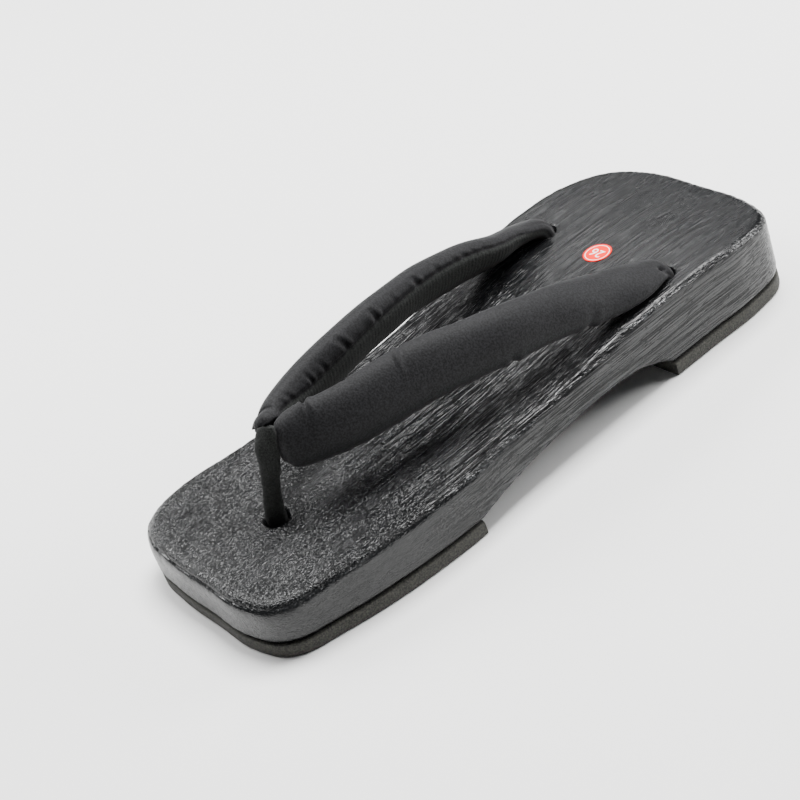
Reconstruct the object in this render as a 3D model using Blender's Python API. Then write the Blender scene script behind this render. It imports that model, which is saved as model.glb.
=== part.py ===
"""Geta: a low wooden sandal on rubber pads, with a padded cloth strap. Left foot.

Metres, +Z up, toe at -Y, the shoe's outer side at +X, standing on z = 0.
"""
import math

import bmesh
import bpy
from mathutils import Matrix, Vector

# Wooden base
LENGTH = 0.2695
WIDTH = 0.1105
TOE_HEIGHT = 0.0240
SEAT_HEIGHT = 0.0352
EDGE_ROUND = 0.0022
ARCH_RISE = 0.0088

# Rubber pads, each glued under the base
PAD_THICKNESS = 0.0060
PAD_INSET = 0.0002
PAD_EDGE = 0.0010
FOREFOOT_PAD_END = 0.0915
HEEL_PAD_START = 0.1960
SEAT_GAP = 0.0003

# Holes, by their distance from the toe end
TOE_HOLE_FROM_TOE = 0.0382
HEEL_HOLES_FROM_TOE = 0.2105
HEEL_HOLE_SPACING = 0.0696
STRAP_AXIS_OFFSET = 0.0026
TOE_HOLE_CLEARANCE = 0.0007
HEEL_HOLE_CLEARANCE = 0.0014

# Padded strap
STRAP_WIDTH = 0.0245
STRAP_THICKNESS = 0.0140
STRAP_RISE = 0.0325
STRAP_NOSE_FROM_TOE = 0.0500
NOSE_BULGE = 0.0038
TAIL_DIAMETER = 0.0080
TAIL_DEPTH = 0.0140

# Velvet toe cord
CORD_WIDTH = 0.0086
CORD_THICKNESS = 0.0050
CORD_RISE = 0.0355
CORD_DEPTH = 0.0120

# Size sticker
STICKER_DIAMETER = 0.0120
STICKER_THICKNESS = 0.0004
STICKER_FROM_TOE = 0.2092
STICKER_SIDE = -0.0005

# Sampling
OUTLINE_STEPS = 5
EDGE_STEPS = 2
STATIONS = 24
RING_SIDES = 18
RING_STEPS = 3
HOLE_SIDES = 28

# The sawn outline seen from above, starting at the middle of the toe and
# going round by the outer side: share of the length, share of the width.
OUTLINE = [
    (0.000, 0.024), (0.004, 0.255), (0.030, 0.385), (0.095, 0.440),
    (0.280, 0.495), (0.450, 0.474), (0.630, 0.464), (0.800, 0.458),
    (0.912, 0.453), (0.965, 0.412), (0.992, 0.300), (1.000, 0.000),
    (0.991, -0.280), (0.955, -0.418), (0.890, -0.484), (0.815, -0.497),
    (0.665, -0.455), (0.520, -0.428), (0.370, -0.426), (0.215, -0.446),
    (0.090, -0.481), (0.038, -0.452), (0.011, -0.362), (0.001, -0.215),
]

# The top from toe to heel: share of the length, share of the rise from the
# toe's height to the seat's.
TOP_LINE = [
    (0.000, -0.06), (0.120, 0.07), (0.240, 0.18), (0.400, 0.30),
    (0.490, 0.42), (0.560, 0.58), (0.630, 0.78), (0.700, 0.95),
    (0.780, 1.00), (0.860, 0.98), (0.930, 0.86), (1.000, 0.70),
]

# The hollow between the pads: share of its length, share of its rise.
ARCH_LINE = [
    (0.000, 0.00), (0.120, 0.32), (0.250, 0.58), (0.400, 0.80),
    (0.550, 0.94), (0.700, 1.00), (0.820, 0.90), (0.900, 0.66),
    (0.960, 0.32), (1.000, 0.00),
]

# One branch of the strap from the nose to its hole. along: share of the way
# from nose to hole; across: share of half the hole spacing; rise: share of
# the strap's rise above the wood; wide and thick: shares of the strap's
# width and thickness; tilt: how steeply the wide side stands, in degrees.
STRAP_SECTIONS = [
    {"along": 0.000, "across": 0.06, "rise": 0.985, "wide": 0.51, "thick": 0.50, "tilt": 84},
    {"along": 0.012, "across": 0.11, "rise": 0.940, "wide": 0.82, "thick": 0.79, "tilt": 82},
    {"along": 0.055, "across": 0.27, "rise": 0.905, "wide": 0.97, "thick": 0.93, "tilt": 76},
    {"along": 0.160, "across": 0.46, "rise": 0.885, "wide": 1.00, "thick": 0.97, "tilt": 70},
    {"along": 0.320, "across": 0.60, "rise": 0.880, "wide": 0.98, "thick": 1.00, "tilt": 67},
    {"along": 0.445, "across": 0.74, "rise": 0.810, "wide": 0.93, "thick": 1.00, "tilt": 66},
    {"along": 0.570, "across": 0.86, "rise": 0.700, "wide": 0.87, "thick": 1.00, "tilt": 63},
    {"along": 0.700, "across": 0.93, "rise": 0.515, "wide": 0.84, "thick": 1.00, "tilt": 54},
    {"along": 0.820, "across": 0.98, "rise": 0.295, "wide": 0.85, "thick": 0.90, "tilt": 36},
    {"along": 0.900, "across": 1.03, "rise": 0.230, "wide": 0.81, "thick": 0.79, "tilt": 26},
    {"along": 0.945, "across": 1.03, "rise": 0.200, "wide": 0.64, "thick": 0.63, "tilt": 16},
]

# The toe cord from its lower end to its top. forward: share of the way from
# the hole to the nose; rise: share of the cord's rise above the wood; wide
# and thick: shares of the cord's sizes; turn: its twist, in degrees.
CORD_SECTIONS = [
    {"forward": 0.00, "rise": 0.00, "wide": 0.96, "thick": 1.00, "turn": 30},
    {"forward": 0.07, "rise": 0.14, "wide": 0.94, "thick": 1.00, "turn": 26},
    {"forward": 0.22, "rise": 0.36, "wide": 0.90, "thick": 0.96, "turn": 12},
    {"forward": 0.55, "rise": 0.58, "wide": 0.96, "thick": 0.92, "turn": 0},
    {"forward": 0.84, "rise": 0.76, "wide": 1.08, "thick": 0.90, "turn": -4},
    {"forward": 0.98, "rise": 0.92, "wide": 1.12, "thick": 0.84, "turn": -4},
    {"forward": 1.00, "rise": 1.00, "wide": 0.96, "thick": 0.60, "turn": -4},
]


def smooth(table, share):
    """Value of a two-column table at a share, on a smooth curve through it."""
    table = [tuple(row) for row in table]
    share = min(max(share, table[0][0]), table[-1][0])
    i = max(k for k in range(len(table) - 1) if table[k][0] <= share)
    before, a, b = table[max(i - 1, 0)], table[i], table[i + 1]
    after = table[min(i + 2, len(table) - 1)]
    step = b[0] - a[0]
    t = (share - a[0]) / step
    slope_a = (b[1] - before[1]) / (b[0] - before[0]) * step
    slope_b = (after[1] - a[1]) / (after[0] - a[0]) * step
    return (
        (2 * t**3 - 3 * t**2 + 1) * a[1] + (t**3 - 2 * t**2 + t) * slope_a
        + (3 * t**2 - 2 * t**3) * b[1] + (t**3 - t**2) * slope_b
    )


def from_toe(distance):
    """Row Y of a place that lies this far behind the toe end."""
    return distance - LENGTH / 2


def top_height(y):
    """Height of the wood's top above the floor."""
    rise = smooth(TOP_LINE, y / LENGTH + 0.5)
    return TOE_HEIGHT + (SEAT_HEIGHT - TOE_HEIGHT) * rise


def underside_height(y):
    """Height of the wood's underside above the floor."""
    start, end = from_toe(FOREFOOT_PAD_END), from_toe(HEEL_PAD_START)
    flat = PAD_THICKNESS + SEAT_GAP
    if not start < y < end:
        return flat
    return flat + ARCH_RISE * smooth(ARCH_LINE, (y - start) / (end - start))


def stations():
    """Row Y of each cut along the base, both pad ends among them."""
    start, end = from_toe(FOREFOOT_PAD_END), from_toe(HEEL_PAD_START)
    even = [LENGTH * (k / STATIONS - 0.5) for k in range(1, STATIONS)]
    spare = LENGTH / STATIONS / 3
    kept = [y for y in even if min(abs(y - start), abs(y - end)) > spare]
    return sorted([*kept, start, end])


def between_stations(height, y, places):
    """Height at y, straight between two stations, so that strips stay flat."""
    ends = [-LENGTH / 2, *places, LENGTH / 2]
    y = min(max(y, ends[0]), ends[-1])
    i = max(k for k in range(len(ends) - 1) if ends[k] <= y)
    t = (y - ends[i]) / (ends[i + 1] - ends[i])
    return height(ends[i]) * (1 - t) + height(ends[i + 1]) * t


def material(name, colour, roughness):
    made = bpy.data.materials.new(name)
    made.use_nodes = True
    shader = made.node_tree.nodes["Principled BSDF"]
    shader.inputs["Base Color"].default_value = (*colour, 1)
    shader.inputs["Roughness"].default_value = roughness
    return made


def add_object(name, mesh, collection, finish=None):
    placed = bpy.data.objects.new(name, mesh)
    if finish:
        mesh.materials.append(finish)
    collection.objects.link(placed)
    return placed


def sawn_plate(name, half_height, edge, inset, collection, finish=None):
    """The outline as a plate with rounded edges, centred on z = 0, as a mesh."""
    curve = bpy.data.curves.new(name, "CURVE")
    curve.dimensions = "2D"
    curve.fill_mode = "BOTH"
    curve.extrude = half_height - edge
    curve.bevel_depth = edge
    curve.bevel_resolution = EDGE_STEPS - 1
    curve.offset = -edge - inset
    curve.resolution_u = OUTLINE_STEPS
    spline = curve.splines.new("BEZIER")
    spline.bezier_points.add(len(OUTLINE) - 1)
    spline.use_cyclic_u = True
    for point, (along, across) in zip(spline.bezier_points, OUTLINE):
        point.co = (WIDTH * across, LENGTH * (along - 0.5), 0)
        point.handle_left_type = point.handle_right_type = "AUTO"
    drawn = bpy.data.objects.new(name, curve)
    collection.objects.link(drawn)
    bpy.context.view_layer.update()
    seen = drawn.evaluated_get(bpy.context.evaluated_depsgraph_get())
    mesh = bpy.data.meshes.new_from_object(seen)
    bpy.data.objects.remove(drawn)
    mesh.materials.clear()
    bm = bmesh.new()
    bm.from_mesh(mesh)
    bmesh.ops.remove_doubles(bm, verts=bm.verts, dist=1e-6)
    for side in (-1, 1):
        cap = [f for f in bm.faces if f.normal.z * side > 0.999]
        bmesh.ops.dissolve_faces(bm, faces=cap, use_verts=False)
    bmesh.ops.recalc_face_normals(bm, faces=bm.faces)
    bm.to_mesh(mesh)
    bm.free()
    mesh.name = name
    return add_object(name, mesh, collection, finish)


def cut_across(bm, y, keep=0):
    """Cuts the mesh at y. keep -1 leaves the toe side, 1 the heel side."""
    everything = [*bm.verts, *bm.edges, *bm.faces]
    made = bmesh.ops.bisect_plane(
        bm, geom=everything, dist=1e-7, plane_co=(0, y, 0), plane_no=(0, 1, 0),
        clear_outer=keep < 0, clear_inner=keep > 0,
    )
    if keep:
        rim = [e for e in made["geom_cut"] if isinstance(e, bmesh.types.BMEdge)]
        bmesh.ops.holes_fill(bm, edges=rim, sides=0)
        bmesh.ops.recalc_face_normals(bm, faces=bm.faces)


def edit(placed):
    bm = bmesh.new()
    bm.from_mesh(placed.data)
    return bm


def store(bm, placed):
    bm.to_mesh(placed.data)
    bm.free()
    placed.data.shade_smooth()
    placed.data.set_sharp_from_angle(angle=math.radians(35))


def tube_between(bm, rings):
    """Skins a list of rings of points with quads and closes both ends."""
    rows = [[bm.verts.new(point) for point in ring] for ring in rings]
    count = len(rows[0])
    for a, b in zip(rows, rows[1:]):
        for k in range(count):
            n = (k + 1) % count
            bm.faces.new((a[k], a[n], b[n], b[k]))
    bm.faces.new(rows[0])
    bm.faces.new(rows[-1])
    bmesh.ops.recalc_face_normals(bm, faces=bm.faces)


def ellipse(centre, wide_axis, thin_axis, wide, thick):
    """Ring of points on an ellipse, by its two axes and whole sizes."""
    turns = [2 * math.pi * k / RING_SIDES for k in range(RING_SIDES)]
    return [
        centre + wide_axis * (wide / 2 * math.cos(t)) + thin_axis * (thick / 2 * math.sin(t))
        for t in turns
    ]


def finer(rows, steps):
    """Rows of a table with named columns, and smooth rows between them."""
    places = [k / steps for k in range(steps * (len(rows) - 1) + 1)]
    columns = {name: [(i, row[name]) for i, row in enumerate(rows)] for name in rows[0]}
    return [{name: smooth(pairs, p) for name, pairs in columns.items()} for p in places]


def strap_rings(side):
    """Rings of one branch, side 1 for the outer and -1 for the inner one."""
    nose, hole = from_toe(STRAP_NOSE_FROM_TOE), from_toe(HEEL_HOLES_FROM_TOE)
    spread = HEEL_HOLE_SPACING / 2
    rings = []
    centres = []
    rows = finer(STRAP_SECTIONS, RING_STEPS)
    for row in rows:
        y = nose + (hole - nose) * row["along"]
        x = STRAP_AXIS_OFFSET + side * spread * row["across"]
        centres.append(Vector((x, y, top_height(y) + STRAP_RISE * row["rise"])))
    last = rows[-1]
    sizes = [
        (STRAP_WIDTH * r["wide"], STRAP_THICKNESS * r["thick"], math.radians(r["tilt"]))
        for r in rows
    ]

    # The padded end rolls over into its hole on a quarter turn.
    start = centres[-1]
    surface = top_height(hole)
    bend = hole - start.y
    hole_x = STRAP_AXIS_OFFSET + side * spread
    turn_steps = 6
    for k in range(1, turn_steps + 1):
        turn = math.pi / 2 * k / turn_steps
        share = k / turn_steps
        centres.append(Vector((
            start.x + (hole_x - start.x) * share,
            start.y + bend * math.sin(turn),
            start.z - bend * (1 - math.cos(turn)),
        )))
        sizes.append((
            STRAP_WIDTH * last["wide"] * (1 - share) + TAIL_DIAMETER * share,
            STRAP_THICKNESS * last["thick"] * (1 - share) + TAIL_DIAMETER * share,
            math.radians(last["tilt"]) * (1 - share),
        ))
    centres.append(Vector((hole_x, hole, surface - TAIL_DEPTH)))
    sizes.append((TAIL_DIAMETER, TAIL_DIAMETER, 0))

    for i, (centre, (wide, thick, tilt)) in enumerate(zip(centres, sizes)):
        ahead = (centres[min(i + 1, len(centres) - 1)] - centres[max(i - 1, 0)]).normalized()
        level = Vector((side, 0, 0))
        outward = (level - ahead * level.dot(ahead)).normalized()
        upward = outward.cross(ahead) * side
        wide_axis = outward * math.cos(tilt) - upward * math.sin(tilt)
        thin_axis = outward * math.sin(tilt) + upward * math.cos(tilt)
        rings.append(ellipse(centre, wide_axis, thin_axis, wide, thick))
    return rings


def cord_rings():
    """Rings of the toe cord, from inside its hole up to the strap's nose."""
    foot = from_toe(TOE_HOLE_FROM_TOE)
    top = from_toe(STRAP_NOSE_FROM_TOE) - NOSE_BULGE - SEAT_GAP - CORD_THICKNESS / 2
    surface = top_height(foot)
    rows = finer(CORD_SECTIONS, RING_STEPS)
    rows.insert(0, dict(rows[0], rise=-CORD_DEPTH / CORD_RISE))
    centres = [
        Vector((
            STRAP_AXIS_OFFSET, foot + (top - foot) * row["forward"],
            surface + CORD_RISE * row["rise"],
        ))
        for row in rows
    ]
    rings = []
    for i, (centre, row) in enumerate(zip(centres, rows)):
        ahead = (centres[min(i + 1, len(centres) - 1)] - centres[max(i - 1, 0)]).normalized()
        twist = Matrix.Rotation(math.radians(row["turn"]), 3, ahead)
        wide_axis = twist @ Vector((1, 0, 0))
        thin_axis = ahead.cross(wide_axis)
        sizes = CORD_WIDTH * row["wide"], CORD_THICKNESS * row["thick"]
        rings.append(ellipse(centre, wide_axis, thin_axis, *sizes))
    return rings


def drill(collection, name, x, y, radius):
    """Upright round cutter through the whole base."""
    bpy.ops.mesh.primitive_cylinder_add(
        vertices=HOLE_SIDES, radius=radius, depth=4 * SEAT_HEIGHT, location=(x, y, 0),
    )
    cutter = bpy.context.object
    cutter.name = name
    for owner in list(cutter.users_collection):
        owner.objects.unlink(cutter)
    collection.objects.link(cutter)
    cutter.hide_render = True
    cutter.display_type = "WIRE"
    return cutter


def add_boolean(placed, cutter, operation):
    step = placed.modifiers.new(cutter.name, "BOOLEAN")
    step.operation = operation
    step.object = cutter


def make_base(shoe, cutters):
    """One block of wood: sawn outline, rising top, arch cut out underneath."""
    finish = material("black_lacquered_wood", (0.022, 0.022, 0.023), 0.42)
    half = SEAT_HEIGHT / 2
    base = sawn_plate("base", half, EDGE_ROUND, 0, shoe, finish)
    places = stations()
    bm = edit(base)
    for y in places:
        cut_across(bm, y)
    for corner in bm.verts:
        if corner.co.z > 0:
            corner.co.z += between_stations(top_height, corner.co.y, places) - half
        else:
            corner.co.z += between_stations(underside_height, corner.co.y, places) + half
    store(bm, base)

    holes = [("toe_drill", 0, TOE_HOLE_FROM_TOE, CORD_WIDTH / 2 + TOE_HOLE_CLEARANCE)]
    for side, name in ((1, "outer_drill"), (-1, "inner_drill")):
        radius = TAIL_DIAMETER / 2 + HEEL_HOLE_CLEARANCE
        holes.append((name, side * HEEL_HOLE_SPACING / 2, HEEL_HOLES_FROM_TOE, radius))
    for name, offset, distance, radius in holes:
        x, y = STRAP_AXIS_OFFSET + offset, from_toe(distance)
        add_boolean(base, drill(cutters, name, x, y, radius), "DIFFERENCE")


def make_pads(shoe):
    """Two rubber pads, cut straight across where the arch begins."""
    finish = material("moulded_rubber", (0.045, 0.045, 0.040), 0.75)
    ends = (("pad_front", FOREFOOT_PAD_END, -1), ("pad_heel", HEEL_PAD_START, 1))
    for name, distance, keep in ends:
        pad = sawn_plate(name, PAD_THICKNESS / 2, PAD_EDGE, PAD_INSET, shoe, finish)
        bm = edit(pad)
        cut_across(bm, from_toe(distance), keep)
        bmesh.ops.translate(bm, verts=bm.verts, vec=(0, 0, PAD_THICKNESS / 2))
        store(bm, pad)


def make_strap(shoe, cutters):
    """Two padded branches, joined to one piece at the nose."""
    finish = material("padded_satin_cloth", (0.016, 0.016, 0.018), 0.55)
    branches = []
    for side, name, home in ((1, "strap", shoe), (-1, "inner_branch", cutters)):
        bm = bmesh.new()
        tube_between(bm, strap_rings(side))
        mesh = bpy.data.meshes.new(name)
        branch = add_object(name, mesh, home, finish)
        store(bm, branch)
        branches.append(branch)
    strap, inner = branches
    inner.hide_render = True
    inner.display_type = "WIRE"
    add_boolean(strap, inner, "UNION")


def make_cord(shoe):
    """Twisted velvet band between the toe hole and the strap's nose."""
    finish = material("velvet_band", (0.008, 0.008, 0.009), 0.95)
    bm = bmesh.new()
    tube_between(bm, cord_rings())
    store(bm, add_object("toe_cord", bpy.data.meshes.new("toe_cord"), shoe, finish))


def make_sticker(shoe):
    """Round paper sticker, lying along the slope of the heel seat."""
    y = from_toe(STICKER_FROM_TOE)
    reach = STICKER_DIAMETER / 2
    slope = math.atan2(top_height(y + reach) - top_height(y - reach), 2 * reach)
    lift = SEAT_GAP + STICKER_THICKNESS / 2
    height = max(top_height(y), (top_height(y + reach) + top_height(y - reach)) / 2)
    bpy.ops.mesh.primitive_cylinder_add(
        vertices=HOLE_SIDES, radius=reach, depth=STICKER_THICKNESS,
        location=(STRAP_AXIS_OFFSET + STICKER_SIDE, y, height + lift),
        rotation=(slope, 0, 0),
    )
    sticker = bpy.context.object
    sticker.name = sticker.data.name = "sticker"
    sticker.data.materials.append(material("printed_paper", (0.89, 0.085, 0.05), 0.4))
    for owner in list(sticker.users_collection):
        owner.objects.unlink(sticker)
    shoe.objects.link(sticker)


def main():
    for old in list(bpy.data.objects):
        bpy.data.objects.remove(old)
    shoe = bpy.data.collections.new("geta")
    cutters = bpy.data.collections.new("cutters")
    for collection in (shoe, cutters):
        bpy.context.scene.collection.children.link(collection)
    make_base(shoe, cutters)
    make_pads(shoe)
    make_strap(shoe, cutters)
    make_cord(shoe)
    make_sticker(shoe)


main()
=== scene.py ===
"""Looks of a low wooden sandal with a padded cloth strap, left foot. Metres, +Z up, toe at -Y."""

import math
import random

import bmesh
import bpy
import numpy as np
from mathutils import Matrix, Vector, bvhtree, kdtree, noise


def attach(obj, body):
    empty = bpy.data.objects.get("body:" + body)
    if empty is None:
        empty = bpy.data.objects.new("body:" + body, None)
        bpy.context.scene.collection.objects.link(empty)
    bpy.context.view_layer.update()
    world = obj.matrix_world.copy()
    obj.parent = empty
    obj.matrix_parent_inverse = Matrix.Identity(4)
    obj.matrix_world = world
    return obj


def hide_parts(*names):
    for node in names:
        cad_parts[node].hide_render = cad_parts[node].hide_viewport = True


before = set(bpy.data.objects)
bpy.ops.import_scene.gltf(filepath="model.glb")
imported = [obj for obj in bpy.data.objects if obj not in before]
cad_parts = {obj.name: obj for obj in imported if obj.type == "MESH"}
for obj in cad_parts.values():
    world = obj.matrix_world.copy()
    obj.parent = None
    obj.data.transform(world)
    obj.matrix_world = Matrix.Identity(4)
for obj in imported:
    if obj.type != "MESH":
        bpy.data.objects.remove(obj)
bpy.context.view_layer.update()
MM = 0.001


# Studio
# A pale floor under a dim white sky, lit from above. A low soft light behind
# the shoe is mirrored by its lacquer, and two more graze its heel and toe.

# The camera was fitted to the shoe's traced edges. It is rolled, so that the
# shoe slants in the picture while it stands level on the floor.
CAMERA_AT = (0.56505, -0.32042, 0.44999)
CAMERA_RIGHT = Vector((0.5995, 0.7442, -0.2947))
CAMERA_BACK = Vector((0.7437, -0.3818, 0.5488))
LENS = 90.05
SENSOR = 36.0
NEAREST_SEEN = 0.01

SKY_COLOUR = "F4F6FA"
SKY_STRENGTH = 0.13
FLOOR_WIDTH = 12.0
FLOOR_COLOUR = "F2F2F1"

# Soft lights: name, place, target, width and height in metres, and watts.
SOFTBOXES = (
    ("sheen_softbox", (-1.25, 0.62, 1.0), (0, 0, 0.03), 1.4, 0.42, 7),
    ("top_softbox", (-0.05, 0.5, 1.5), (0, 0, 0.02), 0.9, 0.9, 74),
    ("heel_softbox", (0.35, 0.75, 0.35), (0.03, 0.1, 0.03), 0.4, 0.3, 7.5),
    ("toe_softbox", (-0.97, -0.34, 0.82), (0, -0.08, 0.03), 0.8, 0.6, 22),
)


def linear(hex_colour):
    """Linear RGBA of an sRGB colour written in hex."""
    channels = [int(hex_colour[i:i + 2], 16) / 255 for i in (0, 2, 4)]
    return (*[c / 12.92 if c <= 0.04045 else ((c + 0.055) / 1.055) ** 2.4 for c in channels], 1.0)


def new_material(name):
    """An empty node material, its tree and its Principled shader."""
    made = bpy.data.materials.new(name)
    made.use_nodes = True
    return made, made.node_tree, made.node_tree.nodes["Principled BSDF"]


def set_inputs(tree, node, inputs):
    """Links each input to the socket given, or sets it to the value given."""
    for name, value in inputs.items():
        if isinstance(value, bpy.types.NodeSocket):
            tree.links.new(value, node.inputs[name])
        else:
            node.inputs[name].default_value = value


def add_node(tree, kind, inputs=None, **settings):
    """Adds a node, with its settings, and links or sets its inputs."""
    node = tree.nodes.new(kind)
    for name, value in settings.items():
        setattr(node, name, value)
    set_inputs(tree, node, inputs or {})
    return node


def add_object(name, data):
    """A new object in the scene."""
    placed = bpy.data.objects.new(name, data)
    bpy.context.scene.collection.objects.link(placed)
    return placed


def mesh_object(name, bm):
    """A new object in the scene with the mesh built so far."""
    mesh = bpy.data.meshes.new(name)
    bm.to_mesh(mesh)
    bm.free()
    return add_object(name, mesh)


back = CAMERA_BACK.normalized()
right = (CAMERA_RIGHT - back * CAMERA_RIGHT.dot(back)).normalized()
up = back.cross(right)
camera = add_object("camera", bpy.data.cameras.new("camera"))
camera.matrix_world = Matrix.Translation(CAMERA_AT) @ Matrix((right, up, back)).transposed().to_4x4()
camera.data.lens = LENS
camera.data.sensor_width = SENSOR
camera.data.clip_start = NEAREST_SEEN
bpy.context.scene.camera = camera

sky = bpy.data.worlds.new("white_studio")
sky.use_nodes = True
bpy.context.scene.world = sky
set_inputs(sky.node_tree, sky.node_tree.nodes["Background"], {
    "Color": linear(SKY_COLOUR), "Strength": SKY_STRENGTH})

for name, place, target, width, height, power in SOFTBOXES:
    lamp = add_object(name, bpy.data.lights.new(name, "AREA"))
    lamp.data.shape = "RECTANGLE"
    lamp.data.size = width
    lamp.data.size_y = height
    lamp.data.energy = power
    lamp.location = place
    lamp.rotation_euler = (Vector(target) - Vector(place)).to_track_quat("-Z", "Y").to_euler()
    lamp.visible_camera = False

bm = bmesh.new()
bmesh.ops.create_grid(bm, x_segments=2, y_segments=2, size=FLOOR_WIDTH / 2)
floor = mesh_object("floor", bm)

# White background paper: pale and matt, so that it shows only soft shadows.
paper, tree, shader = new_material("white_background_paper")
set_inputs(tree, shader, {"Base Color": linear(FLOOR_COLOUR), "Roughness": 0.9, "Specular IOR Level": 0.2})
floor.data.materials.append(paper)


# Wooden base
# One block of light wood, its open grain brushed out and sprayed with black
# lacquer. The top edge is rasped, and the drilled holes have torn rims.
GRAIN_VOXEL = 0.95 * MM
SMOOTHING_ROUNDS = 3
SMOOTHING_SHARE = 0.5
HOLE_AXIS = 2.6 * MM
HOLE_Y = 75.75 * MM
HOLE_SPREAD = 34.8 * MM
HOLE_RADIUS = 5.2 * MM
TOE_HOLE = Vector((HOLE_AXIS, -96.55 * MM))
HEEL_HOLES = [Vector((HOLE_AXIS + side * HOLE_SPREAD, HOLE_Y)) for side in (1, -1)]
STREAK_WIDTH = 0.70 * MM
STREAK_LENGTH = 40 * MM
FLECK_LENGTH = 0.9 * MM
CHIP_SIZE = 0.9 * MM
CLUSTER_SIZE = (6 * MM, 30 * MM, 6 * MM)
# Lacquer tones: painted shade for the grain's valleys, the lacquer's own grey, and rubbed chips lightened
# further as painted highlight.
LACQUER_VALLEY_SHADE = "040405"
LACQUER_GREY = "0E0F10"
LACQUER_RUBBED_AND_HIGHLIGHT = "46484A"

# The relief in the mesh: long shallow grooves, chips along the rasped edge
# and deeper ones round the torn holes.
GROOVE_DEPTH = 0.10 * MM
GROOVE_SIZE = (1.9 * MM, 60 * MM, 1.9 * MM)
RASP_DEPTH = 0.22 * MM
RASP_SIZE = (2.0 * MM, 3.6 * MM, 2.0 * MM)
TORN_DEPTH = 0.5 * MM
TORN_REACH = 1.6 * MM
TORN_ABOVE = 15 * MM

# The top edge is where the normal's upward part lies between two limits. It is rounded and rasped in a band
# that is broad round the toe, where the chips, the rubbing with its painted highlight and the grain are
# weaker by the shares given. Low on the sides no edge is near.
EDGE_ABOVE = 16 * MM
EDGE_UPWARD = (0.45, 0.88)
TOP_UPWARD = (0.5, 0.9)
NO_EDGE = 1.0
EDGE_ROUND = 1.6 * MM
TOE_EDGE_ROUND = 6.0 * MM
ROUND_SHARE = 0.26
RASP_BAND = 0.9 * MM
TOE_RASP_BAND = 3.0 * MM
TOE_BAND = np.array([-125, -105]) * MM
TOE_CHIPS_LOST = 0.8
TOE_RUBBING_AND_HIGHLIGHT_LOST = 0.85
TOE_GRAIN_LOST = 0.7

# How deeply the grain is brushed out at places from toe to heel: deepest on
# top above the arch and weak on the sides. Towards the toe the streaks break
# up into short flecks.
BRUSHED_AT = np.array([-135, -75, -40, 20, 55, 135]) * MM
BRUSHED_TOP = (0.90, 0.95, 1.10, 1.00, 0.45, 0.36)
BRUSHED_SIDE = (0.30, 0.22, 0.60, 0.75, 0.65, 0.60)
FLECKED = (0.95, 0.75, 0.30, 0.15, 0.10, 0.10)


def finished_mesh(placed):
    """The object's mesh, as its modifiers or its lettering make it."""
    bpy.context.view_layer.update()
    seen = placed.evaluated_get(bpy.context.evaluated_depsgraph_get())
    mesh = bpy.data.meshes.new_from_object(seen)
    mesh.materials.clear()
    return mesh


def vertex_array(mesh, what):
    """The places (co) or normals of a mesh's vertices as an array."""
    values = np.empty(len(mesh.vertices) * 3)
    mesh.vertices.foreach_get(what, values)
    return values.reshape(-1, 3)


def noise_at(places, size, seed=0.0):
    """Smooth noise from -1 to 1 at each place, with lumps of the sizes given for X, Y and Z."""
    scaled = places / np.array(size) + seed
    return np.array([noise.noise(Vector(p)) for p in scaled])


base = add_object("brushed_base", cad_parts["base"].data.copy())
remesh = base.modifiers.new("remesh", "REMESH")
remesh.mode = "VOXEL"
remesh.voxel_size = GRAIN_VOXEL
smoothing = base.modifiers.new("smoothing", "CORRECTIVE_SMOOTH")
smoothing.iterations = SMOOTHING_ROUNDS
smoothing.use_only_smooth = True
smoothing.factor = SMOOTHING_SHARE
fine_mesh = finished_mesh(base)
base.modifiers.clear()
base.data = fine_mesh
fine_mesh.name = "brushed_base"

places = vertex_array(fine_mesh, "co")
normals = vertex_array(fine_mesh, "normal")
upward = normals[:, 2]
to_hole = np.min([
    np.hypot(places[:, 0] - hole.x, places[:, 1] - hole.y) for hole in (TOE_HOLE, *HEEL_HOLES)], axis=0)
is_high = places[:, 2] > EDGE_ABOVE
is_edge = is_high & (upward > EDGE_UPWARD[0]) & (upward < EDGE_UPWARD[1]) & (to_hole > 2 * HOLE_RADIUS)
edge_places = places[is_edge]
edge_tree = kdtree.KDTree(len(edge_places))
for i, place in enumerate(edge_places):
    edge_tree.insert(place, i)
edge_tree.balance()
from_edge = np.array([
    edge_tree.find(place)[2] if high else NO_EDGE for place, high in zip(places, is_high)])

at_toe = np.interp(places[:, 1], TOE_BAND, (1, 0))
rasped = np.exp(-(from_edge / (RASP_BAND + (TOE_RASP_BAND - RASP_BAND) * at_toe)) ** 2)
round_reach = EDGE_ROUND + (TOE_EDGE_ROUND - EDGE_ROUND) * at_toe
rounding = np.clip(1 - from_edge / round_reach, 0, 1) ** 2 * round_reach * ROUND_SHARE
torn = np.exp(-(np.clip(to_hole - HOLE_RADIUS, 0, None) / TORN_REACH) ** 2) * (places[:, 2] > TORN_ABOVE)
grooves = noise_at(places, GROOVE_SIZE)
chips = noise_at(places, RASP_SIZE, seed=7.0)
wood_relief = GROOVE_DEPTH * grooves - rounding
wood_relief += chips * (RASP_DEPTH * rasped * (1 - TOE_CHIPS_LOST * at_toe) + TORN_DEPTH * torn)
carved = places + normals * wood_relief[:, None]
fine_mesh.vertices.foreach_set("co", carved.astype(np.float32).ravel())
fine_mesh.update()
fine_mesh.shade_smooth()

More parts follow.
